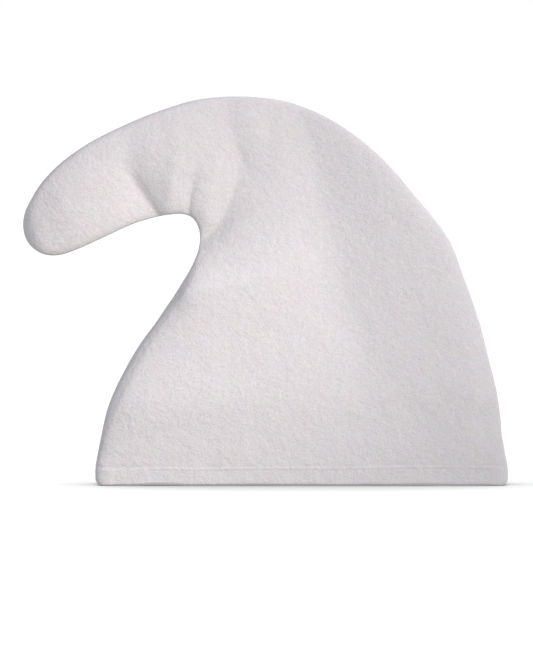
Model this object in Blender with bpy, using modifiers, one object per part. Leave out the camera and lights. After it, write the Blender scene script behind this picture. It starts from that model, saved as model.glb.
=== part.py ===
"""Gnome hat: two curved felt panels sewn edge to edge, standing on the rim, with the peak curled forward.

Metres, +Z up. The hat faces -X, its left panel is at -Y, and the rim rests on Z = 0.
Both panels are cut alike: a section for each row of SECTIONS runs from the front seam to the back seam,
and the last one closes on the nose of the peak.
"""
import math
from collections import namedtuple

import bmesh
import bpy
from mathutils import Vector

# Driving sizes
RIM_LENGTH = 0.270  # the rim, front seam to back seam
RIM_WIDTH = 0.054  # the rim, left panel to right panel
HAT_HEIGHT = 0.254  # rim to the top of the crown
PEAK_REACH = 0.047  # how far the nose of the peak stands out in front of the rim
PEAK_WIDTH = 0.034  # the peak, left panel to right panel
FELT = 0.002  # thickness of the felt
SEAM_EDGE = 0.0006  # flat edge of each panel beside the seam, past the turned-in felt
SEAM_GAP = 0.0003  # air between the two panels
SEAM_ALLOWANCE = 0.007  # felt turned inwards beyond the seam
HEM_DEPTH = 0.0125  # height of the turned-up hem
HEM_GAP = 0.0008  # air between the wall and the hem behind it
FOLD_REACH = 0.010  # half the breadth of an ordinary fold

# Below 1 a section is flatter at its side and blunter at its ends than an ellipse. It is bluntest at the
# rim, and roundest where its front rises to PEAK_FOOT of the height.
RIM_ROUNDNESS = 0.15
PEAK_ROUNDNESS = 0.35
PEAK_FOOT = 0.69

# Mesh steps
ROWS_PER_SECTION = 2
HEM_ROWS = 4  # rows of the hem, behind the wall and on it, where no felt is turned inwards
COLUMNS = 26
FOLD_STEPS = 12
TINY = 1e-9  # keeps a division by a length from failing at a fold's own line

FELT_COLOUR = (0.72, 0.70, 0.72, 1.0)
FELT_ROUGHNESS = 0.95

# A place along the hat is a share of RIM_LENGTH behind the front of the rim, or, where it is negative,
# a share of PEAK_REACH in front of it. A height is a share of HAT_HEIGHT. rim_part and peak_part
# are the shares of RIM_WIDTH and PEAK_WIDTH that add up to the section's width.
Section = namedtuple("Section", "front front_z back back_z rim_part peak_part")
SECTIONS = [
    Section(0.012, 0.115, 0.987, 0.120, 0.985, 0.00),
    Section(0.029, 0.195, 0.975, 0.225, 0.950, 0.00),
    Section(0.058, 0.268, 0.953, 0.330, 0.900, 0.00),
    Section(0.102, 0.350, 0.928, 0.430, 0.840, 0.00),
    Section(0.158, 0.435, 0.897, 0.525, 0.770, 0.00),
    Section(0.208, 0.515, 0.856, 0.635, 0.690, 0.00),
    Section(0.240, 0.577, 0.783, 0.735, 0.560, 0.12),
    Section(0.253, 0.622, 0.695, 0.843, 0.420, 0.30),
    Section(0.251, 0.660, 0.593, 0.928, 0.280, 0.52),
    Section(0.237, 0.687, 0.486, 0.981, 0.150, 0.76),
    Section(0.213, 0.698, 0.374, 1.000, 0.060, 0.93),
    Section(0.182, 0.697, 0.258, 0.994, 0.000, 1.02),
    Section(0.145, 0.690, 0.158, 0.965, 0.000, 1.02),
    Section(0.090, 0.672, 0.070, 0.927, 0.000, 1.01),
    Section(0.028, 0.642, -0.060, 0.884, 0.000, 1.00),
    Section(-0.240, 0.608, -0.440, 0.836, 0.000, 0.96),
    Section(-0.520, 0.592, -0.720, 0.785, 0.000, 0.86),
    Section(-0.750, 0.597, -0.890, 0.737, 0.000, 0.76),
    Section(-0.925, 0.622, -0.985, 0.698, 0.000, 0.52),
]
RIM = Section(0.0, 0.0, 1.0, 0.0, 1.0, 0.0)
NOSE = Section(-1.0, 0.658, -1.0, 0.658, 0.0, 0.0)

# A fold is a valley along a bent line: start, bend and end, placed as the sections are. Its reach to the
# left and to the right of that line is a share of FOLD_REACH. Its depth, which is negative for a ridge,
# is the share of the section's bulge that it presses in. It is sharp at the line where softness is
# small, and fade is the share of its depth that is gone at its end.
Fold = namedtuple("Fold", "start start_z bend bend_z end end_z left_reach right_reach depth softness fade")
LEFT_FOLDS = [
    Fold(0.157, 0.697, 0.127, 0.764, 0.081, 0.836, 1.30, 0.80, 0.42, 0.10, 0.85),
    Fold(0.227, 0.679, 0.215, 0.726, 0.249, 0.800, 1.00, 0.60, 0.26, 0.15, 0.70),
    Fold(0.254, 0.630, 0.341, 0.666, 0.390, 0.836, 1.10, 1.50, 0.46, 0.12, 0.40),
    Fold(0.375, 0.811, 0.341, 0.888, 0.324, 0.996, 2.60, 1.30, 0.34, 0.12, 0.05),
    Fold(0.501, 0.981, 0.579, 0.656, 0.671, 0.218, 6.00, 4.20, 0.62, 0.25, 0.85),
    Fold(0.215, 0.501, 0.375, 0.517, 0.540, 0.589, 2.60, 1.80, -0.38, 0.12, 0.40),
    Fold(0.132, 0.192, 0.375, 0.192, 0.647, 0.411, 2.00, 3.00, -0.13, 0.50, 0.40),
    Fold(0.030, 0.115, 0.059, 0.256, 0.229, 0.514, 0.30, 6.00, -0.11, 0.30, 0.30),
    Fold(0.945, 0.063, 0.904, 0.476, 0.720, 0.780, 4.00, 1.20, -0.14, 0.60, 0.30),
    Fold(0.919, 0.223, 0.904, 0.135, 0.865, 0.058, 1.20, 1.50, -0.10, 0.20, 0.30),
]
RIGHT_FOLDS = [
    Fold(0.148, 0.697, 0.122, 0.762, 0.085, 0.862, 0.90, 0.80, 0.34, 0.12, 0.70),
    Fold(0.255, 0.635, 0.355, 0.690, 0.385, 0.830, 1.50, 1.20, 0.42, 0.15, 0.50),
    Fold(0.400, 0.820, 0.365, 0.900, 0.350, 0.996, 2.20, 1.30, 0.22, 0.15, 0.20),
    Fold(0.520, 0.975, 0.590, 0.640, 0.690, 0.230, 5.50, 3.50, 0.58, 0.25, 0.85),
    Fold(0.215, 0.485, 0.390, 0.515, 0.570, 0.600, 3.00, 2.40, -0.26, 0.08, 0.50),
    Fold(0.140, 0.190, 0.370, 0.200, 0.640, 0.400, 2.00, 3.00, -0.12, 0.50, 0.40),
    Fold(0.032, 0.115, 0.062, 0.250, 0.235, 0.510, 0.30, 6.00, -0.11, 0.30, 0.30),
    Fold(0.945, 0.063, 0.904, 0.476, 0.720, 0.780, 4.00, 1.20, -0.13, 0.60, 0.30),
    Fold(0.222, 0.676, 0.214, 0.724, 0.226, 0.780, 0.80, 0.50, 0.20, 0.15, 0.80),
]


def place(along, height):
    """A point of the middle plane from a table's two shares."""
    reach = RIM_LENGTH if along > 0 else PEAK_REACH
    middle = (RIM_LENGTH - PEAK_REACH) / 2
    return Vector((along * reach - middle, 0.0, height * HAT_HEIGHT))


def bulge(section):
    """How far a section bulges out beyond the flat edges at its seams."""
    width = section.rim_part * RIM_WIDTH + section.peak_part * PEAK_WIDTH
    return max(0.0, width / 2 - FELT - SEAM_EDGE - SEAM_GAP / 2)


def blended(before, start, end, after, share):
    """A smooth curve through start and end, with its neighbours' slopes."""
    slope_in = (end - before) / 2
    slope_out = (after - start) / 2
    square = share * share
    cube = square * share
    return (
        start * (2 * cube - 3 * square + 1)
        + slope_in * (cube - 2 * square + share)
        + end * (3 * square - 2 * cube)
        + slope_out * (cube - square)
    )


def smooth_rows(knots, past_end):
    """Values along the sections, ROWS_PER_SECTION for each, and one for the last knot."""
    before = knots[0] * 2 - knots[1]
    padded = [before, *knots, past_end]
    rows = []
    for i in range(len(knots) - 1):
        for step in range(ROWS_PER_SECTION):
            rows.append(blended(*padded[i : i + 4], step / ROWS_PER_SECTION))
    return rows + [knots[-1]]


def loft_rows():
    """Front point, back point and bulge of each row, from the rim to the nose."""
    knots = [RIM, *SECTIONS, NOSE]
    fronts = [place(s.front, s.front_z) for s in knots]
    backs = [place(s.back, s.back_z) for s in knots]
    bulges = [bulge(s) for s in knots]
    rim = (fronts[0], backs[0], bulges[0])
    hem = Vector((0.0, 0.0, HEM_DEPTH))
    fronts[0] = fronts[0] + hem
    backs[0] = backs[0] + hem
    rows = zip(
        smooth_rows(fronts, backs[-2]),
        smooth_rows(backs, fronts[-2]),
        smooth_rows(bulges, -bulges[-2]),
    )
    return [rim, *rows]


def fold_line(fold):
    """Points along a fold's bent line, each with the way ahead there and the share of the way to its end."""
    start = place(fold.start, fold.start_z)
    bend = place(fold.bend, fold.bend_z)
    end = place(fold.end, fold.end_z)
    line = []
    for i in range(FOLD_STEPS + 1):
        share = i / FOLD_STEPS
        first = start.lerp(bend, share)
        second = bend.lerp(end, share)
        line.append((first.lerp(second, share), (second - first).normalized(), share))
    return line


def fold_depth(point, fold, line):
    """The share of the bulge that a fold presses in at a point of the middle plane, from the hem upwards."""
    nearest, ahead, share = min(line, key=lambda step: (step[0] - point).length)
    away = point - nearest
    to_right = ahead.cross(away).y / max(away.length, TINY)
    middle_reach = (fold.right_reach + fold.left_reach) / 2
    reach = middle_reach + (fold.right_reach - fold.left_reach) / 2 * to_right
    distance = math.hypot(away.length / (reach * FOLD_REACH), fold.softness)
    left = 1 - fold.fade * share * share
    above_hem = min(1.0, max(0.0, (point.z / HEM_DEPTH - 1) / 2))
    return fold.depth * left * above_hem * math.exp(fold.softness - distance)


def section_ring(front, back, outwards, folds):
    """One panel's section at -Y: a flat edge, the flattened half of an oval and the other edge."""
    seam = Vector((0.0, -SEAM_GAP / 2, 0.0))
    edge = seam + Vector((0.0, -FELT - SEAM_EDGE, 0.0))
    rise = min(1.0, front.z / HAT_HEIGHT / PEAK_FOOT)
    roundness = RIM_ROUNDNESS + (PEAK_ROUNDNESS - RIM_ROUNDNESS) * rise * rise
    ring = [front + seam]
    for i in range(COLUMNS + 1):
        turn = math.pi * i / COLUMNS
        middle = front.lerp(back, (1 - math.cos(turn)) / 2)
        left = math.prod(1 - fold_depth(middle, fold, line) for fold, line in folds)
        side = outwards * left * max(0.0, math.sin(turn)) ** roundness
        ring.append(middle + edge + Vector((0.0, -side, 0.0)))
    return ring + [back + seam]


def inset(path, distance, plane_normal):
    """The path moved sideways by a distance in the plane, each corner mitred."""
    sides = [(b - a).cross(plane_normal).normalized() for a, b in zip(path, path[1:])]
    before = [sides[0], *sides]
    after = [*sides, sides[-1]]
    return [
        point + (a + b) * distance / (1 + a.dot(b))
        for point, a, b in zip(path, before, after)
    ]


def hem_rings(rim, hem_top):
    """The turned-up hem behind the wall: its upper edge, then its foot."""
    depth = 2 * FELT + HEM_GAP
    down = Vector((0.0, 0.0, -1.0))
    return [inset(hem_top, depth, down), inset(rim, depth, down)]


def with_allowance(rings):
    """The rings with the felt turned inwards beyond the seam, on all rows above the hem."""
    above = rings[HEM_ROWS:]
    seam = [ring[0] for ring in above] + [ring[-1] for ring in reversed(above[:-1])]
    turned = inset(seam, SEAM_ALLOWANCE, Vector((0.0, -1.0, 0.0)))
    wider = [[ring[0], *ring, ring[-1]] for ring in rings[:HEM_ROWS]]
    for i, ring in enumerate(above):
        wider.append([turned[i], *ring, turned[-1 - i]])
    return wider


def panel_mesh(folds):
    """The outer face of the left panel, hem and seam allowance included."""
    lines = [(fold, fold_line(fold)) for fold in folds]
    wall = [section_ring(*row, lines) for row in loft_rows()]
    rings = with_allowance(hem_rings(wall[0], wall[1]) + wall)
    columns = len(rings[0])
    mesh = bmesh.new()
    bmesh.ops.create_grid(mesh, x_segments=columns - 1, y_segments=len(rings) - 1, size=1.0)
    mesh.verts.ensure_lookup_table()
    for i, vert in enumerate(mesh.verts):
        vert.co = rings[i // columns][i % columns]
    bmesh.ops.remove_doubles(mesh, verts=mesh.verts, dist=SEAM_GAP / 10)
    return mesh


def felt(name):
    """White needle-punched felt."""
    material = bpy.data.materials.new(name)
    material.use_nodes = True
    shader = material.node_tree.nodes["Principled BSDF"]
    shader.inputs["Base Color"].default_value = FELT_COLOUR
    shader.inputs["Roughness"].default_value = FELT_ROUGHNESS
    shader.inputs["Metallic"].default_value = 0.0
    return material


def panel(name, folds, mirrored, collection):
    """A panel of its own: the left one, or its mirror image with its own folds."""
    shape = panel_mesh(folds)
    if mirrored:
        for vert in shape.verts:
            vert.co.y = -vert.co.y
        bmesh.ops.reverse_faces(shape, faces=shape.faces)
    data = bpy.data.meshes.new(name)
    shape.to_mesh(data)
    shape.free()
    data.shade_smooth()
    data.materials.append(felt(name + "_felt"))
    felt_panel = bpy.data.objects.new(name, data)
    collection.objects.link(felt_panel)
    thickness = felt_panel.modifiers.new("felt_thickness", "SOLIDIFY")
    thickness.thickness = FELT
    thickness.offset = -1.0
    thickness.use_even_offset = True
    thickness.use_quality_normals = True
    return felt_panel


def main():
    for old in list(bpy.data.objects):
        bpy.data.objects.remove(old)
    hat = bpy.data.collections.new("gnome_hat")
    bpy.context.scene.collection.children.link(hat)
    panel("left_panel", LEFT_FOLDS, False, hat)
    panel("right_panel", RIGHT_FOLDS, True, hat)


main()
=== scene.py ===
"""White felt gnome hat, standing on its rim with the peak curled forward.

Two panels of needle-punched felt are lofted from the table of sections that the solid model uses, with the
hem, seam, folds and creases of the real hat. Geometry Nodes lay the stitches.
Metres, +Z up: the peak points along -X and the left panel is at -Y.
"""

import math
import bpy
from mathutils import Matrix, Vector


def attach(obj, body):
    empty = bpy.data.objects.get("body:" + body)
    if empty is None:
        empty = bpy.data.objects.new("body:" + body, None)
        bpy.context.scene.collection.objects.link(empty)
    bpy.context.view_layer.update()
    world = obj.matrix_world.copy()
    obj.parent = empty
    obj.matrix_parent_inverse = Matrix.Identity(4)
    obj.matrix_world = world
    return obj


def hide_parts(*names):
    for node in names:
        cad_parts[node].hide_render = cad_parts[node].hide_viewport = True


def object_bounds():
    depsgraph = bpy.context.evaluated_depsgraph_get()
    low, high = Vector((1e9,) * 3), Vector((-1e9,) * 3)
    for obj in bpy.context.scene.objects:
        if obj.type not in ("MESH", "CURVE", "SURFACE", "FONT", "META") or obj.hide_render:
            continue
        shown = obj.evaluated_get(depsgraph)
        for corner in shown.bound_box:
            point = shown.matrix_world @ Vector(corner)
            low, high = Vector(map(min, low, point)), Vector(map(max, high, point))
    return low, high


bl_info = {
    "name": "Felt Gnome Hat",
    "version": (1, 0, 0),
    "blender": (4, 5, 0),
    "location": "View3D > Sidebar > Gnome Hat",
    "description": "Builds a white felt gnome hat with sewn seams, a topstitched hem and its stage",
    "category": "Add Mesh",
}

from collections import namedtuple

import bmesh
import bpy
import numpy as np
from mathutils import Vector, noise

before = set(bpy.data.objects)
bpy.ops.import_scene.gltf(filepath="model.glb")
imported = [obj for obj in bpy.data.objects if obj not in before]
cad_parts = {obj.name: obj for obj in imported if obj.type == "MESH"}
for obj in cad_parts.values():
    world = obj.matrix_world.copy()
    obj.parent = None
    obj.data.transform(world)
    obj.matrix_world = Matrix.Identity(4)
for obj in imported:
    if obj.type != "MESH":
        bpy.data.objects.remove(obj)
CAD_LOW, CAD_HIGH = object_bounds()

# A place along the hat is a share of the rim's length behind its front, or, where it is negative, a share
# of the peak's reach in front of it. A height is a share of the hat's height. rim_part and peak_part are
# the shares of the rim's and the peak's width that add up to the section's width.
Section = namedtuple("Section", "front front_z back back_z rim_part peak_part")
SECTIONS = [
    Section(0.000, 0.000, 1.000, 0.000, 1.000, 0.00),
    Section(0.012, 0.115, 0.987, 0.120, 0.985, 0.00),
    Section(0.029, 0.195, 0.975, 0.225, 0.950, 0.00),
    Section(0.058, 0.268, 0.953, 0.330, 0.900, 0.00),
    Section(0.102, 0.350, 0.928, 0.430, 0.840, 0.00),
    Section(0.158, 0.435, 0.897, 0.525, 0.770, 0.00),
    Section(0.208, 0.515, 0.856, 0.635, 0.690, 0.00),
    Section(0.240, 0.577, 0.783, 0.735, 0.560, 0.12),
    Section(0.253, 0.622, 0.695, 0.843, 0.420, 0.30),
    Section(0.251, 0.660, 0.593, 0.928, 0.280, 0.52),
    Section(0.237, 0.687, 0.486, 0.981, 0.150, 0.76),
    Section(0.213, 0.698, 0.374, 1.000, 0.060, 0.93),
    Section(0.182, 0.697, 0.258, 0.994, 0.000, 1.02),
    Section(0.145, 0.690, 0.158, 0.965, 0.000, 1.02),
    Section(0.090, 0.672, 0.070, 0.927, 0.000, 1.01),
    Section(0.028, 0.642, -0.060, 0.884, 0.000, 1.00),
    Section(-0.240, 0.608, -0.440, 0.836, 0.000, 0.96),
    Section(-0.520, 0.592, -0.720, 0.785, 0.000, 0.86),
    Section(-0.750, 0.597, -0.890, 0.737, 0.000, 0.76),
    Section(-0.925, 0.622, -0.985, 0.698, 0.000, 0.52),
    Section(-1.000, 0.658, -1.000, 0.658, 0.000, 0.00),
]

# A fold is a valley along a bent line: start, bend and end, placed as the sections are. Its reach to the
# left and to the right of that line is a share of the ordinary fold's reach. Its depth, which is negative
# for a ridge, is the share of the section's bulge that it presses in. It is sharp at the line where
# softness is small, and fade is the share of its depth that is gone at its end.
Fold = namedtuple("Fold", "start start_z bend bend_z end end_z left_reach right_reach depth softness fade")
LEFT_FOLDS = [
    Fold(0.152, 0.697, 0.103, 0.769, 0.069, 0.831, 2.20, 0.45, 0.46, 0.06, 0.75),
    Fold(0.254, 0.630, 0.326, 0.669, 0.353, 0.836, 1.60, 1.20, 0.56, 0.10, 0.55),
    Fold(0.368, 0.811, 0.331, 0.888, 0.319, 0.996, 2.60, 1.30, 0.29, 0.10, 0.05),
    Fold(0.501, 0.981, 0.579, 0.656, 0.671, 0.218, 6.00, 4.20, 0.66, 0.20, 0.85),
    Fold(0.215, 0.501, 0.375, 0.517, 0.540, 0.589, 2.60, 2.20, -0.56, 0.04, 0.80),
    Fold(0.132, 0.192, 0.375, 0.192, 0.647, 0.411, 2.00, 3.00, -0.13, 0.50, 0.40),
    Fold(0.030, 0.115, 0.059, 0.256, 0.229, 0.514, 0.30, 6.00, -0.11, 0.30, 0.30),
    Fold(0.945, 0.063, 0.904, 0.476, 0.720, 0.780, 4.00, 1.20, -0.14, 0.60, 0.30),
    Fold(0.919, 0.223, 0.904, 0.135, 0.865, 0.058, 1.20, 1.50, -0.10, 0.20, 0.30),
    Fold(0.933, 0.166, 0.945, 0.115, 0.953, 0.055, 1.20, 0.80, 0.16, 0.20, 0.30),
    Fold(0.110, 0.759, 0.089, 0.811, 0.086, 0.888, 1.10, 1.70, 0.32, 0.15, 0.60),
    Fold(0.227, 0.679, 0.225, 0.733, 0.246, 0.816, 0.80, 0.30, 0.28, 0.06, 0.70),
    Fold(0.225, 0.506, 0.254, 0.563, 0.273, 0.599, 0.30, 2.50, -0.12, 0.30, 0.80),
    Fold(0.254, 0.628, 0.283, 0.653, 0.331, 0.692, 0.45, 0.60, 0.50, 0.05, 0.75),
    Fold(-0.470, 0.744, -0.077, 0.790, 0.074, 0.805, 1.60, 2.00, -0.16, 0.15, 0.20),
    Fold(0.499, 0.976, 0.516, 0.888, 0.559, 0.759, 1.00, 1.60, 0.16, 0.10, 0.60),
    Fold(0.419, 0.945, 0.424, 0.888, 0.404, 0.795, 1.20, 0.80, 0.12, 0.15, 0.60),
    Fold(0.174, 0.697, 0.176, 0.759, 0.195, 0.862, 0.50, 2.00, -0.18, 0.15, 0.50),
    Fold(0.268, 0.677, 0.278, 0.744, 0.292, 0.836, 0.50, 2.00, -0.10, 0.15, 0.50),
    Fold(0.443, 0.677, 0.453, 0.769, 0.458, 0.872, 1.50, 2.50, -0.09, 0.30, 0.50),
]
RIGHT_FOLDS = [
    Fold(0.148, 0.697, 0.122, 0.762, 0.085, 0.862, 0.90, 0.80, 0.34, 0.12, 0.70),
    Fold(0.255, 0.635, 0.355, 0.690, 0.385, 0.830, 1.50, 1.20, 0.42, 0.15, 0.50),
    Fold(0.400, 0.820, 0.365, 0.900, 0.350, 0.996, 2.20, 1.30, 0.22, 0.15, 0.20),
    Fold(0.520, 0.975, 0.590, 0.640, 0.690, 0.230, 5.50, 3.50, 0.58, 0.25, 0.85),
    Fold(0.215, 0.485, 0.390, 0.515, 0.570, 0.600, 3.00, 2.40, -0.26, 0.08, 0.80),
    Fold(0.140, 0.190, 0.370, 0.200, 0.640, 0.400, 2.00, 3.00, -0.12, 0.50, 0.40),
    Fold(0.032, 0.115, 0.062, 0.250, 0.235, 0.510, 0.30, 6.00, -0.11, 0.30, 0.30),
    Fold(0.945, 0.063, 0.904, 0.476, 0.720, 0.780, 4.00, 1.20, -0.13, 0.60, 0.30),
    Fold(0.222, 0.676, 0.214, 0.724, 0.226, 0.780, 0.80, 0.30, 0.24, 0.10, 0.80),
]

# Below 1 a section is flatter at its side and blunter at its ends than an ellipse. It is bluntest at the
# rim, and roundest where its front rises to PEAK_FOOT of the height.
RIM_ROUNDNESS = 0.15
PEAK_ROUNDNESS = 0.35
PEAK_FOOT = 0.69
ROWS_PER_SECTION = 10
COLUMNS = 130
ROLL_STEPS = 6
HEM_STEPS = 10
FOLD_STEPS = 40
FOLD_RISE = 4  # hem depths above the hem's stitching over which the folds reach their full depth
EDGE_COLUMNS = ROLL_STEPS + 3  # columns of seam allowance and roll at each end of a row
TINY = 1e-12  # keeps a division by a length from failing where the length is nothing
FOOT_ROW = HEM_STEPS - 1 + ROLL_STEPS  # the row on the floor, counted from the hem's cut edge inside
HEM_ROWS = 2 * HEM_STEPS + 2 * ROLL_STEPS  # rows from that cut edge to the stitching on the wall

# The photograph's frame, in its own pixels
FRAME_WIDTH = 533
FRAME_HEIGHT = 654
RIM_FRONT_PIXEL = 95.5
RIM_BACK_PIXEL = 507.5
RIM_FOOT_PIXEL = 484.5

LEFT_SEED = 3.0
RIGHT_SEED = 7.0
BODY = "root"


def floor_points():
    """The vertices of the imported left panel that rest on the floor."""
    touching = 0.0005
    return [v.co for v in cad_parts["left_panel"].data.vertices if v.co.z < touching]


RIM_FRONT = min(point.x for point in floor_points())
RIM_BACK = max(point.x for point in floor_points())
RIM_SIDE = -min(point.y for point in floor_points())
PEAK_FRONT = CAD_LOW.x
PEAK_SIDE = -min(v.co.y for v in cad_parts["left_panel"].data.vertices if v.co.x < RIM_FRONT)
HAT_HEIGHT = CAD_HIGH.z
PIXEL = (RIM_BACK - RIM_FRONT) / (RIM_BACK_PIXEL - RIM_FRONT_PIXEL)


def length(name, default, description):
    """A property that holds a length in metres."""
    return bpy.props.FloatProperty(
        name=name, default=default, description=description, unit="LENGTH", precision=5
    )


def angle(name, degrees, description):
    """A property that holds an angle, given here in degrees."""
    return bpy.props.FloatProperty(
        name=name, default=math.radians(degrees), description=description, unit="ROTATION"
    )


def share(name, default, description):
    """A property that holds a plain number."""
    return bpy.props.FloatProperty(name=name, default=default, description=description)


def colour(name, default, description):
    """A property that holds an sRGB colour in hex."""
    return bpy.props.StringProperty(name=name, default=default, description=description)


class HatFelt(bpy.types.PropertyGroup):
    """Sizes and colours of the felt panels."""

    thickness: length("Felt Thickness", 0.002, "Thickness of the needle-punched felt")
    hem_depth: length("Hem Depth", 0.0125, "Height of the hem's stitching")
    hem_edge: length("Hem Edge", 0.0145, "Height of the hem's cut edge, inside the hat")
    hem_gap: length("Hem Gap", 0.0014, "Air between the wall and the hem behind it")
    hem_draw: length("Hem Draw", 0.0005, "How far the stitching draws in the wall above it")
    hem_draw_reach: length("Hem Draw Reach", 0.007, "Height over which the wall is drawn in")
    hem_lip: length("Hem Lip", 0.00025, "How far the felt stands out along the stitching")
    hem_step: length("Hem Step", 0.0004, "How far the hem is pressed in just below that lip")
    hem_lean: length("Hem Lean", 0.0005, "How far the foot of the hem leans in")
    flat_front: length("Flat Front", 0.03, "Length of the hem's front where its lip and step fade out")
    hem_stray: length("Hem Stray", 0.0012, "How far the hem's stitching strays up and down")
    foot_lift: length("Foot Lift", 0.0010, "How far the uneven foot of the hem rises off the floor")
    foot_roundness: share("Foot Roundness", 0.6, "1 for a foot folded round, and less for one pressed flat")
    corner: length("Rim Corner", 0.0045, "Size of the rim's cut corner at the front and back seams")
    seam_gap: length("Seam Gap", 0.0003, "Air between the two panels")
    seam_roll: length("Seam Roll", 0.0022, "Radius of the felt where it turns into the seam")
    seam_allowance: length("Seam Allowance", 0.007, "Felt turned inwards beyond the seam")
    fold_reach: length("Fold Reach", 0.010, "Half the breadth of an ordinary fold")
    sag: length("Sag", 0.0005, "Depth of the broad uneven dips in the felt")
    dimple: length("Dimple", 0.00025, "Depth of the small dips in the felt")
    clump: length("Clump", 0.00008, "Height of the clumps of needle-punched fibre")
    fibre_part: share("Fibre Part", 0.45, "Height of the single fibres against the height of their clumps")
    fibre_height: length("Fibre Height", 0.0006, "Height of the bumps that the fibres make")
    mottle: share("Mottle", 0.19, "Strength of the faint pink and blue mottle")
    pale: colour("Pale Fibre", "#F6F1F1", "Colour of the palest fibre")
    grey: colour("Grey Fibre", "#E3DFDF", "Colour of the greyest fibre")


class HatThread(bpy.types.PropertyGroup):
    """Sizes and colour of the sewing thread."""

    pitch: length("Stitch Pitch", 0.0042, "From one stitch to the next")
    stitch: length("Stitch Length", 0.0030, "Visible length of a stitch")
    thickness: length("Thread Thickness", 0.00035, "Thickness of the polyester thread")
    unevenness: angle("Stitch Unevenness", 6.0, "How far a stitch turns out of its line")
    groove: length("Stitch Groove", 0.0005, "How deep the hem's stitching sinks into the felt")
    groove_reach: length("Groove Reach", 0.0009, "Half the breadth of that groove")
    white: colour("Thread White", "#F6F3F4", "Colour of the thread")


class HatStage(bpy.types.PropertyGroup):
    """The floor, the lights and the camera."""

    distance: length("Camera Distance", 8.0, "From the camera to the hat")
    elevation: angle("Camera Elevation", 2.0, "Angle of the camera above the hat")
    floor_size: length("Floor Size", 30.0, "Side of the square floor")
    floor_glow: share("Floor Glow", 1.1, "Brightness of the lit floor to the eye")
    floor_light: share("Floor Light", 0.45, "Brightness of the floor as it lights the hat")
    # The floor's soft shadow is painted into its glow by ambient occlusion, not cast by a lamp.
    shadow_reach: length("Shadow Reach", 0.12, "How far the soft shadow spreads from the foot of the hat")
    key: share("Key Light", 150.0, "Power of the key light, in watts")
    key_tint: colour("Key Tint", "#FFF7F4", "Colour of the key light")
    sky_tint: colour("Sky Tint", "#F0F5FF", "Colour of the surround as it lights the hat")
    key_distance: length("Key Light Distance", 2.4, "From the key light to the hat")
    key_size: length("Key Light Size", 0.3, "Breadth of the key light, which softens its shadows")
    key_cone: angle("Key Light Cone", 16.0, "Angle that the key light spreads over")
    key_side: angle("Key Light Side", 50.0, "Angle of the key light to the right of the camera")
    key_height: angle("Key Light Height", 22.0, "Angle of the key light above the hat")
    sky_bright: share("Bright Sky", 0.70, "Brightness of the surround where it is brightest")
    sky_dim: share("Dim Sky", 0.17, "Brightness of the surround where it is dimmest")
    sky_turn: angle("Sky Turn", 12.0, "Angle of the brightest sky to the right of the camera")
    sky_rise: angle("Sky Rise", 28.0, "Angle of the brightest sky above the floor")
    back_bright: share("Back Light", 2.8, "Brightness that the surround gains behind the hat")


def linear(hex_colour):
    """A hex sRGB colour as the linear values that shaders use."""
    values = [int(hex_colour[i : i + 2], 16) / 255 for i in (1, 3, 5)]
    return [v / 12.92 if v <= 0.04045 else ((v + 0.055) / 1.055) ** 2.4 for v in values] + [1.0]


def add_node(tree, kind, settings=None, inputs=None):
    """Adds a node with its properties set, and each input linked to a socket or set to a value."""
    node = tree.nodes.new(kind)
    for name, value in (settings or {}).items():
        setattr(node, name, value)
    for name, value in (inputs or {}).items():
        if isinstance(value, bpy.types.NodeSocket):
            tree.links.new(value, node.inputs[name])
        else:
            node.inputs[name].default_value = value
    return node


def place(along, height):
    """Points of the middle plane, as (x, z), from the tables' shares."""
    along = np.asarray(along, float)
    reach = np.where(along > 0, RIM_BACK - RIM_FRONT, RIM_FRONT - PEAK_FRONT)
    return np.stack([RIM_FRONT + along * reach, np.asarray(height, float) * HAT_HEIGHT], axis=-1)


def smooth_rows(knots, past_end):
    """Values between the knots on a smooth curve, ROWS_PER_SECTION for each, and the last knot."""
    knots = np.asarray(knots, float)
    padded = np.concatenate([[knots[0] * 2 - knots[1]], knots, [past_end]])
    part = np.arange(ROWS_PER_SECTION) / ROWS_PER_SECTION
    part = part.reshape([-1] + [1] * (knots.ndim - 1))
    square = part**2
    cube = part**3
    rows = []
    for before, start, end, after in zip(padded, padded[1:], padded[2:], padded[3:]):
        rows.append(
            start * (2 * cube - 3 * square + 1)
            + (end - before) / 2 * (cube - 2 * square + part)
            + end * (3 * square - 2 * cube)
            + (after - start) / 2 * (cube - square)
        )
    return np.concatenate(rows + [knots[-1:]])


def loft(felt):
    """Front points, back points and bulges of the rows, from the top of the hem to the nose."""
    fronts = place([s.front for s in SECTIONS], [s.front_z for s in SECTIONS])
    backs = place([s.back for s in SECTIONS], [s.back_z for s in SECTIONS])
    sides = np.array([s.rim_part * RIM_SIDE + s.peak_part * PEAK_SIDE for s in SECTIONS])
    bulges = np.maximum(0.0, sides - felt.seam_roll - felt.seam_gap / 2)
    fronts[0, 1] = felt.hem_depth
    backs[0, 1] = felt.hem_depth
    return (
        smooth_rows(fronts, backs[-2]),
        smooth_rows(backs, fronts[-2]),
        smooth_rows(bulges, -bulges[-2]),
    )


def outward(chain):
    """The unit normals of a chain of (x, z) points, to the left of the way that it runs."""
    steps = np.gradient(chain, axis=0)
    normals = np.stack([-steps[:, 1], steps[:, 0]], axis=-1)
    return normals / np.linalg.norm(normals, axis=1, keepdims=True)


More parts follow.
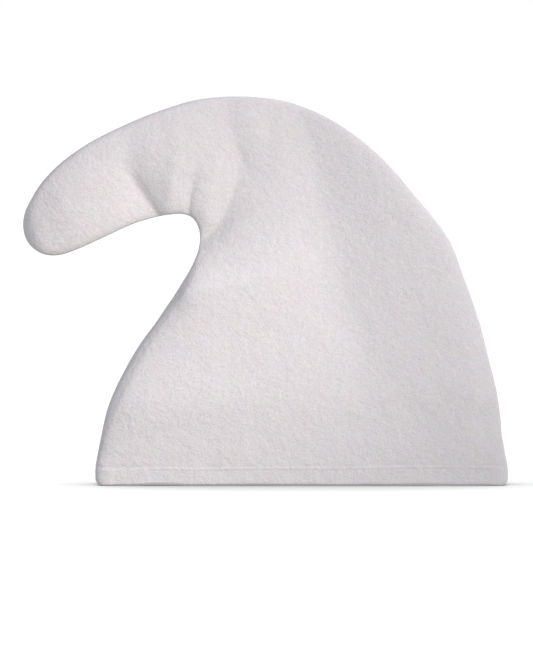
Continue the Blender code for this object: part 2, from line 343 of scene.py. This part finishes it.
def rolled_seam(points, normals, felt, depth):
    """At each seam point, the felt's way out of the seam allowance and round the roll to the wall.

    The face lies that depth below the outer face.
    """
    turns = np.linspace(0.0, math.pi / 2, ROLL_STEPS + 1)
    radius = felt.seam_roll - depth
    above_hem = eased((points[:, 1] - felt.hem_edge) / felt.corner)[:, None]
    edge_and_middle = np.array([1.0, 0.5])
    allowance = felt.seam_roll + (felt.seam_allowance - felt.seam_roll) * above_hem * edge_and_middle
    roll = np.broadcast_to(felt.seam_roll - radius * np.sin(turns), (len(points), ROLL_STEPS + 1))
    inwards = np.concatenate([allowance, roll], axis=1)
    sideways = np.concatenate([[depth, depth], felt.seam_roll - radius * np.cos(turns)])
    flat = points[:, None, :] - normals[:, None, :] * inwards[..., None]
    across = np.broadcast_to(-felt.seam_gap / 2 - sideways, flat.shape[:2])
    return np.stack([flat[..., 0], across, flat[..., 1]], axis=-1)


def fold_shares(flat, fold, felt):
    """The share of the bulge that a fold presses in at each of the (x, z) points.

    The nearest place on the fold's line is the nearest of its points and up to half a step on or back.
    """
    start, bend, end = place([fold.start, fold.bend, fold.end], [fold.start_z, fold.bend_z, fold.end_z])
    part = np.linspace(0.0, 1.0, FOLD_STEPS)[:, None]
    line = start * (1 - part) ** 2 + bend * 2 * part * (1 - part) + end * part**2
    ahead = np.gradient(line, axis=0)
    stride = np.linalg.norm(ahead, axis=1)
    ahead /= stride[:, None]
    away = flat[:, None, :] - line[None, :, :]
    nearest = np.argmin(np.linalg.norm(away, axis=2), axis=1)
    away = away[np.arange(len(flat)), nearest]
    ahead = ahead[nearest]
    step = np.sum(away * ahead, axis=1) / stride[nearest]
    step = np.clip(step, np.where(nearest > 0, -0.5, 0.0), np.where(nearest < FOLD_STEPS - 1, 0.5, 0.0))
    away = away - ahead * (step * stride[nearest])[:, None]
    distance = np.linalg.norm(away, axis=1)
    to_right = (ahead[:, 1] * away[:, 0] - ahead[:, 0] * away[:, 1]) / np.maximum(distance, TINY)
    reach = (fold.left_reach + fold.right_reach) / 2 + (fold.right_reach - fold.left_reach) / 2 * to_right
    left = 1 - fold.fade * ((nearest + step) / (FOLD_STEPS - 1)) ** 2
    distance = np.hypot(distance / (reach * felt.fold_reach), fold.softness)
    above_hem = eased((flat[:, 1] - felt.hem_depth) / (FOLD_RISE * felt.hem_depth))
    return fold.depth * left * above_hem * np.exp(fold.softness - distance)


def wall_faces(felt, folds):
    """The outer and inner faces of the left panel above the hem, rows by columns, seam to seam."""
    fronts, backs, bulges = loft(felt)
    rows = len(fronts)
    normals = outward(np.concatenate([fronts, backs[-2::-1]]))
    even = np.linspace(0.0, math.pi, COLUMNS + 1)[1:-1]
    turns = even + np.sin(2 * even) / 4  # even turns alone would crowd the columns at the ends
    part = ((1 - np.cos(turns)) / 2)[None, :, None]
    middle = fronts[:, None, :] * (1 - part) + backs[:, None, :] * part
    flat = middle.reshape(-1, 2)
    left = math.prod(1 - fold_shares(flat, fold, felt) for fold in folds).reshape(middle.shape[:2])
    rise = np.clip(fronts[:, 1] / HAT_HEIGHT / PEAK_FOOT, 0.0, 1.0)[:, None]
    roundness = RIM_ROUNDNESS + (PEAK_ROUNDNESS - RIM_ROUNDNESS) * rise**2
    side = bulges[:, None] * left * np.sin(turns) ** roundness
    across = -felt.seam_gap / 2 - felt.seam_roll - side
    wall = np.stack([middle[..., 0], across, middle[..., 1]], axis=-1)
    faces = []
    for depth in (0.0, felt.thickness):
        front = rolled_seam(fronts, normals[:rows], felt, depth)
        back = rolled_seam(backs, normals[::-1][:rows], felt, depth)[:, ::-1]
        faces.append(np.concatenate([front, wall, back], axis=1))
    outer, inner = faces
    between = slice(EDGE_COLUMNS, -EDGE_COLUMNS)
    inner[:, between] -= grid_normals(outer)[:, between] * felt.thickness
    inner[-1, between] = inner[-1, EDGE_COLUMNS - 1]
    return outer, inner


def drawn_in(ring, depth):
    """The rim's ring moved inwards by a depth, with flat ends instead of the seam's rolls."""
    middle = np.array([(RIM_FRONT + RIM_BACK) / 2, 0.0])
    half = np.array([(RIM_BACK - RIM_FRONT) / 2, RIM_SIDE])
    inner = middle + (ring - middle) * (half - depth) / half
    front = slice(0, EDGE_COLUMNS)
    back = slice(-1, -1 - EDGE_COLUMNS, -1)
    for ends, first in ((front, EDGE_COLUMNS), (back, -1 - EDGE_COLUMNS)):
        inner[ends, 0] = inner[first, 0]
        inner[ends, 1] = np.linspace(ring[0, 1], inner[first, 1], EDGE_COLUMNS + 1)[:-1]
    return inner


def hem_rows(first_row, felt, depth):
    """The hem from its cut edge inside, down and round the foot, and up the wall to the first row.

    The face lies that depth below the outer face.
    """
    ring = first_row[:, :2].copy()
    ring[:2] = ring[2]
    ring[-2:] = ring[-3]
    pressed = 0.4  # the share of the seam's roll that the hem presses flat
    ring[:EDGE_COLUMNS, 0] += (ring[EDGE_COLUMNS, 0] - ring[:EDGE_COLUMNS, 0]) * pressed
    ring[-EDGE_COLUMNS:, 0] += (ring[-1 - EDGE_COLUMNS, 0] - ring[-EDGE_COLUMNS:, 0]) * pressed
    middle_radius = felt.thickness + felt.hem_gap / 2
    radius = middle_radius - depth
    wall = drawn_in(ring, depth) if depth else ring
    hem = drawn_in(ring, 2 * middle_radius - depth)
    rows = []
    for height in np.linspace(felt.hem_edge, middle_radius, HEM_STEPS)[:-1]:
        rows.append((1.0, height))
    for turn in np.linspace(math.pi, 0.0, 2 * ROLL_STEPS + 1):
        across = math.copysign(abs(math.cos(turn)) ** felt.foot_roundness, math.cos(turn))
        down = max(0.0, math.sin(turn)) ** felt.foot_roundness
        rows.append(((1 - across) / 2, middle_radius - radius * down))
    for part in np.linspace(1.0, 0.0, HEM_STEPS + 1)[1:]:
        rows.append((0.0, felt.hem_depth - (felt.hem_depth - middle_radius) * part * part))
    made = []
    for part, height in rows:
        flat = wall * (1 - part) + hem * part
        made.append(np.concatenate([flat, np.full((len(flat), 1), height)], axis=1))
    return np.array(made)


def grid_normals(grid):
    """Unit normals of the left panel's grid, pointing out of the hat."""
    along = np.gradient(grid, axis=1)
    up = np.gradient(grid, axis=0)
    normals = np.cross(along, up)
    return normals / np.maximum(np.linalg.norm(normals, axis=2, keepdims=True), TINY)


def eased(values):
    """A smooth rise from 0 to 1."""
    values = np.clip(values, 0.0, 1.0)
    return values * values * (3 - 2 * values)


def uneven(points, size, seed):
    """Smooth noise at the points, from about -1 to 1, with bumps of about the given size."""
    shift = Vector((seed, seed, seed))
    return np.array([noise.noise(Vector(point) / size + shift) for point in points])


def relief(points, felt, thread, seed):
    """How deep the felt dips at each point: broad and small dips, clumps, and the stitched groove."""
    broad = 0.045
    small = 0.014
    clump = 0.004
    from_seam = -points[:, 1] - felt.seam_gap / 2
    off_seam = eased((from_seam - felt.seam_roll) / felt.fold_reach)
    above_hem = eased((points[:, 2] - felt.hem_depth) / felt.hem_depth)
    depth = felt.sag * uneven(points, broad, seed) * off_seam * above_hem
    depth += felt.dimple * uneven(points, small, seed) * off_seam
    depth += felt.clump * uneven(points, clump, seed)
    depth += thread.groove * np.exp(-(((points[:, 2] - felt.hem_depth) / thread.groove_reach) ** 2))
    return (depth + hem_dip(points, felt)) * eased(from_seam / felt.seam_roll)


def hem_dip(points, felt):
    """How deep the wall is drawn in at the hem: by the stitching, in a step below it, and at the foot."""
    lip_height = 0.0003
    step_height = 0.0008
    front_share = 0.5  # of the hem's flat front, without any lip or step
    end_share = 0.3  # of a hem depth from either end, without any dip
    above = points[:, 2] - felt.hem_depth
    drawn = felt.hem_draw * np.exp(-((np.maximum(above, 0.0) / felt.hem_draw_reach) ** 2))
    lip = felt.hem_lip * np.exp(-(((above + lip_height) / (2 * lip_height)) ** 2))
    step = felt.hem_step * eased((-above - 2 * lip_height) / step_height)
    lean = felt.hem_lean * np.clip(-above / felt.hem_depth, 0.0, 1.0)
    sharp = eased((points[:, 0] - RIM_FRONT) / felt.flat_front - front_share)
    from_end = np.minimum(points[:, 0] - RIM_FRONT, RIM_BACK - points[:, 0])
    off_ends = eased(from_end / felt.hem_depth - end_share)
    return (drawn + (step - lip) * sharp + lean) * off_ends


def panel_grids(felt, thread, folds, seed):
    """The outer and inner faces of the left panel with its hem, folds and uneven surface."""
    outer, inner = wall_faces(felt, folds)
    outer = np.concatenate([hem_rows(outer[0], felt, 0.0), outer[1:]])
    inner = np.concatenate([hem_rows(outer[HEM_ROWS - 1], felt, felt.thickness), inner[1:]])
    depth = relief(outer.reshape(-1, 3), felt, thread, seed).reshape(outer.shape[:2])
    depth[:FOOT_ROW] = 0.0
    depth[:, :2] = 0.0
    depth[:, -2:] = 0.0
    dips = grid_normals(outer) * depth[..., None]
    return [lifted_foot(cut_corners(face - dips, felt), felt, seed) for face in (outer, inner)]


def cut_corners(grid, felt):
    """Rounds the rim's lower corners off at the front and back seams."""
    low = np.clip(1 - grid[..., 2] / felt.corner, 0.0, 1.0)
    cut = felt.corner * (1 - np.sqrt(1 - low**2))
    middle = (RIM_FRONT + RIM_BACK) / 2
    from_end = (RIM_BACK - RIM_FRONT) / 2 - np.abs(grid[..., 0] - middle)
    outside = np.clip(1 - from_end / (2 * felt.thickness + felt.hem_gap), 0.0, 1.0)
    grid[..., 0] += np.sign(middle - grid[..., 0]) * cut * outside
    return grid


def lifted_foot(grid, felt, seed):
    """Lets the foot and the stitching of the hem rise and fall unevenly, and keeps all above the floor."""
    wave = 0.03
    foot = grid.reshape(-1, 3) * np.array([1.0, 1.0, 0.0])
    rise = np.clip(uneven(foot, wave, seed), 0.0, 1.0).reshape(grid.shape[:2])
    low = np.clip(1 - grid[..., 2] / felt.hem_depth, 0.0, 1.0)
    stray_wave = 0.06
    stray = felt.hem_stray * uneven(foot, stray_wave, seed + 1).reshape(grid.shape[:2])
    near_stitching = np.exp(-(((grid[..., 2] - felt.hem_depth) / (felt.hem_depth / 2)) ** 2))
    grid[..., 2] = np.maximum(grid[..., 2], 0.0) + felt.foot_lift * rise * low + stray * near_stitching
    return grid


def solid_faces(rows, columns):
    """The quads of a solid between two grids, the outer face's first. Their last rows close on themselves."""
    count = rows * columns
    index = np.arange(count).reshape(rows, columns)
    a, b, c, d = (part.ravel() for part in (index[:-1, :-1], index[:-1, 1:], index[1:, 1:], index[1:, :-1]))
    outer = np.stack([a, b, c, d], axis=1)
    inner = np.stack([a, d, c, b], axis=1) + count
    edge = np.concatenate([index[::-1, 0], index[0, 1:], index[1:, -1]])
    sides = np.stack([edge[:-1] + count, edge[1:] + count, edge[1:], edge[:-1]], axis=1)
    return np.concatenate([outer, inner, sides])


def link(name, data):
    """A new object of the data, in the scene."""
    piece = bpy.data.objects.new(name, data)
    bpy.context.scene.collection.objects.link(piece)
    return piece


def dress(piece, *nodes):
    """Says that the piece rides on the hat and stands for the named nodes."""
    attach(piece, BODY)
    if nodes:
        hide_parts(*nodes)
    return piece


def make_panel(name, node, folds, seed, flipped, material):
    """One felt panel as a closed solid of the felt's thickness."""
    felt = bpy.context.scene.hat_felt
    thread = bpy.context.scene.hat_thread
    same_place = 1e-6
    sharp_edge = math.radians(50.0)
    outer, inner = panel_grids(felt, thread, folds, seed)
    points = np.concatenate([outer.reshape(-1, 3), inner.reshape(-1, 3)])
    faces = solid_faces(*outer.shape[:2])
    if flipped:
        points = points * np.array([1.0, -1.0, 1.0])
        faces = faces[:, ::-1]
    data = bpy.data.meshes.new(name)
    data.from_pydata(points.tolist(), [], faces.tolist())
    shape = bmesh.new()
    shape.from_mesh(data)
    bmesh.ops.remove_doubles(shape, verts=shape.verts, dist=same_place)
    shape.to_mesh(data)
    shape.free()
    data.shade_smooth()
    data.set_sharp_from_angle(angle=sharp_edge)
    data.materials.append(material)
    return dress(link(name, data), node)


def maths(tree, operation, first, second):
    """The result of a math node."""
    return add_node(tree, "ShaderNodeMath", {"operation": operation}, {0: first, 1: second}).outputs[0]


def pattern(tree, size, stretch=(1.0, 1.0, 1.0), detail=2.0, distortion=0.0, shift=0.0):
    """A noise node with features of the given size in metres, in the hat's own coordinates."""
    where = add_node(tree, "ShaderNodeTexCoord").outputs["Object"]
    mapped = add_node(
        tree, "ShaderNodeMapping",
        inputs={"Vector": where, "Location": (shift, shift, shift), "Scale": stretch},
    )
    return add_node(
        tree, "ShaderNodeTexNoise", {"noise_type": "FBM"},
        {"Vector": mapped.outputs["Vector"], "Scale": 1 / size, "Detail": detail, "Distortion": distortion},
    )


def blend(tree, factor, first, second, way="MIX"):
    """The mix of two colours."""
    mixed = add_node(
        tree, "ShaderNodeMix", {"data_type": "RGBA", "blend_type": way}, {0: factor, 6: first, 7: second}
    )
    return mixed.outputs[2]


def white_felt():
    """White polyester felt, needle-punched.

    To the eye it is quite matt, with a fine grain of matted fibres that lie in clumps, and its white is
    faintly mottled pink and blue. A fibre is about 0.02 mm thick, too fine to show, so strands of 1.1 and
    1.4 mm stand for them, over clumps of 4.5 mm.
    """
    felt = bpy.context.scene.hat_felt
    material = bpy.data.materials.new("white_needle_felt")
    material.use_nodes = True
    tree = material.node_tree
    shader = tree.nodes["Principled BSDF"]
    shader.inputs["Roughness"].default_value = 0.95
    shader.inputs["IOR"].default_value = 1.45
    shader.inputs["Specular IOR Level"].default_value = 0.2
    shader.inputs["Sheen Weight"].default_value = 0.1
    shader.inputs["Sheen Roughness"].default_value = 0.5
    lying = pattern(tree, 0.0014, stretch=(0.6, 1.0, 1.0), distortion=1.0)
    crossing = pattern(tree, 0.0011, stretch=(1.0, 1.0, 0.8), distortion=1.0, shift=0.3)
    clumps = pattern(tree, 0.0045, detail=3.0, shift=0.6)
    fibres = maths(tree, "ADD", lying.outputs["Fac"], crossing.outputs["Fac"])
    height = maths(tree, "ADD", maths(tree, "MULTIPLY", fibres, felt.fibre_part), clumps.outputs["Fac"])
    tone = add_node(
        tree, "ShaderNodeMapRange",
        inputs={"Value": fibres, "From Min": 0.5, "From Max": 1.5, "To Min": 0.0, "To Max": 1.0},
    )
    white = blend(tree, tone.outputs["Result"], linear(felt.grey), linear(felt.pale))
    mottle = pattern(tree, 0.008, detail=4.0, shift=0.9)
    colour = blend(tree, felt.mottle, white, mottle.outputs["Color"], "OVERLAY")
    tree.links.new(colour, shader.inputs["Base Color"])
    bump = add_node(
        tree, "ShaderNodeBump", inputs={"Strength": 1.0, "Distance": felt.fibre_height, "Height": height}
    )
    tree.links.new(bump.outputs["Normal"], shader.inputs["Normal"])
    return material


def white_thread():
    """White spun polyester thread: smoother and a little glossier than the felt, with a 0.3 mm twist."""
    thread = bpy.context.scene.hat_thread
    material = bpy.data.materials.new("white_polyester_thread")
    material.use_nodes = True
    tree = material.node_tree
    shader = tree.nodes["Principled BSDF"]
    shader.inputs["Base Color"].default_value = linear(thread.white)
    shader.inputs["Roughness"].default_value = 0.6
    shader.inputs["IOR"].default_value = 1.5
    twist = pattern(tree, 0.0003).outputs["Fac"]
    bump = add_node(tree, "ShaderNodeBump", inputs={"Strength": 0.3, "Distance": 0.0001, "Height": twist})
    tree.links.new(bump.outputs["Normal"], shader.inputs["Normal"])
    return material


def new_group(name, inputs):
    """A Geometry Nodes group with geometry in and out and the given inputs, and its input sockets."""
    group = bpy.data.node_groups.new(name, "GeometryNodeTree")
    group.interface.new_socket("Geometry", in_out="OUTPUT", socket_type="NodeSocketGeometry")
    group.interface.new_socket("Geometry", in_out="INPUT", socket_type="NodeSocketGeometry")
    for title, kind in inputs.items():
        group.interface.new_socket(title, in_out="INPUT", socket_type=kind)
    return group, group.nodes.new("NodeGroupInput").outputs


def put_out(group, geometry, material):
    """Ends a group: real geometry, shaded smooth, in the material."""
    real = add_node(group, "GeometryNodeRealizeInstances", inputs={"Geometry": geometry})
    smooth = add_node(group, "GeometryNodeSetShadeSmooth", inputs={0: real.outputs[0]})
    dressed = add_node(
        group, "GeometryNodeSetMaterial", inputs={"Geometry": smooth.outputs[0], "Material": material}
    )
    add_node(group, "NodeGroupOutput", inputs={0: dressed.outputs[0]})


def arched_thread(group, half, sunk, top, thickness):
    """A short arched tube of thread along X, with its ends sunk below the felt."""
    steps = 7
    sides = 8
    far = maths(group, "MULTIPLY", half, -1.0)
    start = add_node(group, "ShaderNodeCombineXYZ", inputs={"X": far, "Z": sunk})
    middle = add_node(group, "ShaderNodeCombineXYZ", inputs={"Z": top})
    end = add_node(group, "ShaderNodeCombineXYZ", inputs={"X": half, "Z": sunk})
    arch = add_node(
        group, "GeometryNodeCurveQuadraticBezier",
        inputs={
            "Resolution": steps, "Start": start.outputs[0], "Middle": middle.outputs[0],
            "End": end.outputs[0],
        },
    )
    ring = add_node(
        group, "GeometryNodeCurvePrimitiveCircle",
        inputs={"Resolution": sides, "Radius": maths(group, "MULTIPLY", thickness, 0.5)},
    )
    tube = add_node(
        group, "GeometryNodeCurveToMesh",
        inputs={"Curve": arch.outputs[0], "Profile Curve": ring.outputs[0], "Fill Caps": True},
    )
    return tube.outputs[0]


def stitch_group():
    """Lays an arched stitch at each pitch along chains of edges, with its top away from the felt."""
    sunk = -0.6  # the ends' height off the felt, in thread thicknesses
    top = 1.4  # the height that the arch bends towards, in thread thicknesses
    group, given = new_group("hem_and_seam_stitches", {
        "Pitch": "NodeSocketFloat", "Stitch Length": "NodeSocketFloat", "Thickness": "NodeSocketFloat",
        "Unevenness": "NodeSocketFloat", "Seed": "NodeSocketInt", "Material": "NodeSocketMaterial",
    })
    line = add_node(group, "GeometryNodeMeshToCurve", inputs={"Mesh": given["Geometry"]})
    spots = add_node(
        group, "GeometryNodeCurveToPoints", {"mode": "LENGTH"},
        {"Curve": line.outputs[0], "Length": given["Pitch"]},
    )
    out = add_node(
        group, "GeometryNodeInputNamedAttribute", {"data_type": "FLOAT_VECTOR"}, {"Name": "outwards"}
    )
    along = add_node(
        group, "FunctionNodeAlignRotationToVector", {"axis": "X"}, {"Vector": spots.outputs["Tangent"]}
    )
    upright = add_node(
        group, "FunctionNodeAlignRotationToVector", {"axis": "Z", "pivot_axis": "X"},
        {"Rotation": along.outputs[0], "Vector": out.outputs["Attribute"]},
    )
    stitch = arched_thread(
        group,
        maths(group, "MULTIPLY", given["Stitch Length"], 0.5),
        maths(group, "MULTIPLY", given["Thickness"], sunk),
        maths(group, "MULTIPLY", given["Thickness"], top),
        given["Thickness"],
    )
    laid = add_node(
        group, "GeometryNodeInstanceOnPoints",
        inputs={"Points": spots.outputs["Points"], "Instance": stitch, "Rotation": upright.outputs[0]},
    )
    low = add_node(
        group, "ShaderNodeCombineXYZ", inputs={"Z": maths(group, "MULTIPLY", given["Unevenness"], -1.0)}
    )
    high = add_node(group, "ShaderNodeCombineXYZ", inputs={"Z": given["Unevenness"]})
    turn = add_node(
        group, "FunctionNodeRandomValue", {"data_type": "FLOAT_VECTOR"},
        {0: low.outputs[0], 1: high.outputs[0], "Seed": given["Seed"]},
    )
    turned = add_node(
        group, "GeometryNodeRotateInstances",
        inputs={"Instances": laid.outputs[0], "Rotation": turn.outputs[0], "Local Space": True},
    )
    put_out(group, turned.outputs[0], given["Material"])
    return group


def grown(piece, group, values):
    """Runs a node group on a piece with the named values, and keeps what it makes as a plain mesh."""
    modifier = piece.modifiers.new(group.name, "NODES")
    modifier.node_group = group
    for item in group.interface.items_tree:
        if item.name in values:
            modifier[item.identifier] = values[item.name]
    made = bpy.data.meshes.new_from_object(piece.evaluated_get(bpy.context.evaluated_depsgraph_get()))
    piece.modifiers.remove(modifier)
    piece.data = made
    return piece


def chains(name, lines, flipped):
    """A piece of plain edges along each line of (points, ways out of the felt)."""
    points = np.concatenate([line[0] for line in lines])
    ways = np.concatenate([line[1] for line in lines])
    if flipped:
        mirror = np.array([1.0, -1.0, 1.0])
        points = points * mirror
        ways = ways * mirror
    edges = []
    count = 0
    for line in lines:
        edges.extend((i, i + 1) for i in range(count, count + len(line[0]) - 1))
        count += len(line[0])
    data = bpy.data.meshes.new(name)
    data.from_pydata(points.tolist(), edges, [])
    data.attributes.new("outwards", "FLOAT_VECTOR", "POINT").data.foreach_set("vector", ways.ravel())
    return link(name, data)


def stitch_lines(outer, inner, felt):
    """The lines of the left panel's stitches: the hem's, outside and inside, and the seam allowances'."""
    normals = grid_normals(outer)
    ends = slice(3, -3)
    heights = outer[: HEM_STEPS - 1, outer.shape[1] // 2, 2]
    below = int(np.argmax(heights < felt.hem_depth))
    part = (heights[below - 1] - felt.hem_depth) / (heights[below - 1] - heights[below])
    inside = outer[below - 1, ends] * (1 - part) + outer[below, ends] * part
    lines = [
        (outer[HEM_ROWS - 1, ends], normals[HEM_ROWS - 1, ends]),
        (inside, normals[below, ends]),
    ]
    away = np.array([0.0, -1.0, 0.0])
    for column in (1, -2):
        seam = inner[HEM_ROWS + ROWS_PER_SECTION : -ROWS_PER_SECTION, column]
        lines.append((seam, np.broadcast_to(away, seam.shape)))
    return lines


def sew(name, folds, seed, flipped, group, material):
    """The stitches of one panel."""
    felt = bpy.context.scene.hat_felt
    thread = bpy.context.scene.hat_thread
    outer, inner = panel_grids(felt, thread, folds, seed)
    piece = chains(name, stitch_lines(outer, inner, felt), flipped)
    values = {
        "Pitch": thread.pitch, "Stitch Length": thread.stitch, "Thickness": thread.thickness,
        "Unevenness": thread.unevenness, "Seed": int(seed), "Material": material,
    }
    return dress(grown(piece, group, values))


class GNOMEHAT_OT_panels(bpy.types.Operator):
    """Loft the two felt panels, with their hem, seams and folds."""

    bl_idname = "gnomehat.panels"
    bl_label = "Sew Felt Panels"

    def execute(self, context):
        material = white_felt()
        make_panel("left_felt", "left_panel", LEFT_FOLDS, LEFT_SEED, False, material)
        make_panel("right_felt", "right_panel", RIGHT_FOLDS, RIGHT_SEED, True, material)
        return {"FINISHED"}


class GNOMEHAT_OT_stitches(bpy.types.Operator):
    """Sew the hem and the seam allowances."""

    bl_idname = "gnomehat.stitches"
    bl_label = "Sew Stitches"

    def execute(self, context):
        material = white_thread()
        group = stitch_group()
        sew("left_stitches", LEFT_FOLDS, LEFT_SEED, False, group, material)
        sew("right_stitches", RIGHT_FOLDS, RIGHT_SEED, True, group, material)
        return {"FINISHED"}


def make_key(stage):
    """A soft spotlight from the right, brightest on the hat's front and fading towards its back."""
    data = bpy.data.lights.new("key_light", "SPOT")
    data.energy = stage.key
    data.color = linear(stage.key_tint)[:3]
    data.shadow_soft_size = stage.key_size / 2
    data.spot_size = stage.key_cone
    data.spot_blend = 1.0
    ahead = 1.2  # the beam's middle, in shares of the way from the hat's middle to its nose
    height = 0.22  # and in shares of the hat's height
    target = Vector((CAD_LOW.x * ahead, 0.0, HAT_HEIGHT * height))
    level = math.cos(stage.key_height)
    way = Vector((
        math.sin(stage.key_side) * level, -math.cos(stage.key_side) * level, math.sin(stage.key_height)
    ))
    light = link("key_light", data)
    light.location = target + way * stage.key_distance
    light.rotation_mode = "QUATERNION"
    light.rotation_quaternion = way.to_track_quat("Z", "Y")


def make_camera(stage):
    """The photograph's camera: far off, nearly level with the hat, and aimed at the picture's middle."""
    data = bpy.data.cameras.new("photo_camera")
    data.sensor_width = 36.0
    data.lens = data.sensor_width * stage.distance / (FRAME_HEIGHT * PIXEL)
    data.clip_end = 100.0
    camera = link("photo_camera", data)
    target = Vector((
        RIM_FRONT + (FRAME_WIDTH / 2 - RIM_FRONT_PIXEL) * PIXEL,
        0.0,
        (RIM_FOOT_PIXEL - FRAME_HEIGHT / 2) * PIXEL,
    ))
    back = Vector((0.0, -math.cos(stage.elevation), math.sin(stage.elevation)))
    camera.location = target + back * stage.distance
    camera.rotation_mode = "QUATERNION"
    camera.rotation_quaternion = back.to_track_quat("Z", "Y")
    bpy.context.scene.camera = camera


def make_floor(stage):
    """A floor of white acrylic, glowing as if lit from below: plain white, with a painted soft shadow round
    the foot of the hat, where ambient occlusion darkens the glow that the camera sees.
    """
    half = stage.floor_size / 2
    corners = [(-half, -half, 0.0), (half, -half, 0.0), (half, half, 0.0), (-half, half, 0.0)]
    data = bpy.data.meshes.new("floor")
    data.from_pydata(corners, [], [(0, 1, 2, 3)])
    material = bpy.data.materials.new("white_lit_acrylic_painted_shadow")
    material.use_nodes = True
    tree = material.node_tree
    tree.nodes.remove(tree.nodes["Principled BSDF"])
    samples = 16
    softness = 0.8
    # Painted shadow: ambient occlusion near the hat darkens the floor's glow for camera rays only, while the
    # hat is lit by the plain, unshadowed floor_light.
    shade = add_node(
        tree, "ShaderNodeAmbientOcclusion", {"samples": samples}, {"Distance": stage.shadow_reach}
    )
    softened = maths(tree, "POWER", shade.outputs["AO"], softness)
    shadowed = maths(tree, "MULTIPLY", softened, stage.floor_glow)
    seen = add_node(tree, "ShaderNodeLightPath").outputs["Is Camera Ray"]
    glow = add_node(
        tree, "ShaderNodeMix", {"data_type": "FLOAT"}, {0: seen, 2: stage.floor_light, 3: shadowed}
    )
    light = add_node(tree, "ShaderNodeEmission", inputs={"Strength": glow.outputs[0]})
    tree.links.new(light.outputs[0], tree.nodes["Material Output"].inputs["Surface"])
    data.materials.append(material)
    link("floor", data)


def make_sky(stage):
    """A surround that looks white, and lights the hat softly from the camera's side and from behind."""
    world = bpy.data.worlds.new("studio")
    bpy.context.scene.world = world
    world.use_nodes = True
    tree = world.node_tree
    background = tree.nodes["Background"]
    where = add_node(tree, "ShaderNodeTexCoord").outputs["Generated"]
    level = math.cos(stage.sky_rise)
    brightest = (
        math.sin(stage.sky_turn) * level, -math.cos(stage.sky_turn) * level, math.sin(stage.sky_rise)
    )
    facing = add_node(tree, "ShaderNodeVectorMath", {"operation": "DOT_PRODUCT"}, {0: where, 1: brightest})
    soft = add_node(
        tree, "ShaderNodeMapRange",
        inputs={
            "Value": facing.outputs["Value"], "From Min": -1.0, "From Max": 1.0,
            "To Min": stage.sky_dim, "To Max": stage.sky_bright,
        },
    )
    back = (0.35, 0.9, 0.25)  # the way to the middle of the light behind the hat
    back_edge = 0.7  # the cosine of the angle off that way at which the light ends
    away = add_node(tree, "ShaderNodeVectorMath", {"operation": "DOT_PRODUCT"}, {0: where, 1: back})
    behind = add_node(
        tree, "ShaderNodeMapRange",
        inputs={
            "Value": away.outputs["Value"], "From Min": back_edge, "From Max": 1.0,
            "To Min": 0.0, "To Max": stage.back_bright,
        },
    )
    sky = maths(tree, "ADD", soft.outputs["Result"], behind.outputs["Result"])
    seen = add_node(tree, "ShaderNodeLightPath").outputs["Is Camera Ray"]
    strength = add_node(tree, "ShaderNodeMix", {"data_type": "FLOAT"}, {0: seen, 2: sky, 3: 1.0})
    tree.links.new(strength.outputs[0], background.inputs["Strength"])
    shown = blend(tree, seen, linear(stage.sky_tint), linear("#FFFFFF"))
    tree.links.new(shown, background.inputs["Color"])


class GNOMEHAT_OT_stage(bpy.types.Operator):
    """Set the floor, the soft light and the camera."""

    bl_idname = "gnomehat.stage"
    bl_label = "Set Stage"

    def execute(self, context):
        stage = context.scene.hat_stage
        make_floor(stage)
        make_sky(stage)
        make_camera(stage)
        make_key(stage)
        context.scene.view_settings.view_transform = "Standard"
        return {"FINISHED"}


class GNOMEHAT_PT_panel(bpy.types.Panel):
    """Lists the hat's sizes, colours and makers."""

    bl_label = "Felt Gnome Hat"
    bl_space_type = "VIEW_3D"
    bl_region_type = "UI"
    bl_category = "Gnome Hat"

    def draw(self, context):
        layout = self.layout
        for group in (context.scene.hat_felt, context.scene.hat_thread, context.scene.hat_stage):
            for name in group.bl_rna.properties.keys():
                if name not in ("rna_type", "name"):
                    layout.prop(group, name)
        for operator in OPERATORS:
            layout.operator(operator.bl_idname)


OPERATORS = (GNOMEHAT_OT_panels, GNOMEHAT_OT_stitches, GNOMEHAT_OT_stage)
CLASSES = (HatFelt, HatThread, HatStage, *OPERATORS, GNOMEHAT_PT_panel)


def register():
    for kind in CLASSES:
        bpy.utils.register_class(kind)
    bpy.types.Scene.hat_felt = bpy.props.PointerProperty(type=HatFelt)
    bpy.types.Scene.hat_thread = bpy.props.PointerProperty(type=HatThread)
    bpy.types.Scene.hat_stage = bpy.props.PointerProperty(type=HatStage)


def unregister():
    del bpy.types.Scene.hat_stage
    del bpy.types.Scene.hat_thread
    del bpy.types.Scene.hat_felt
    for kind in reversed(CLASSES):
        bpy.utils.unregister_class(kind)


def main():
    register()
    bpy.ops.gnomehat.panels()
    bpy.ops.gnomehat.stitches()
    bpy.ops.gnomehat.stage()


if __name__ == "__main__":
    main()
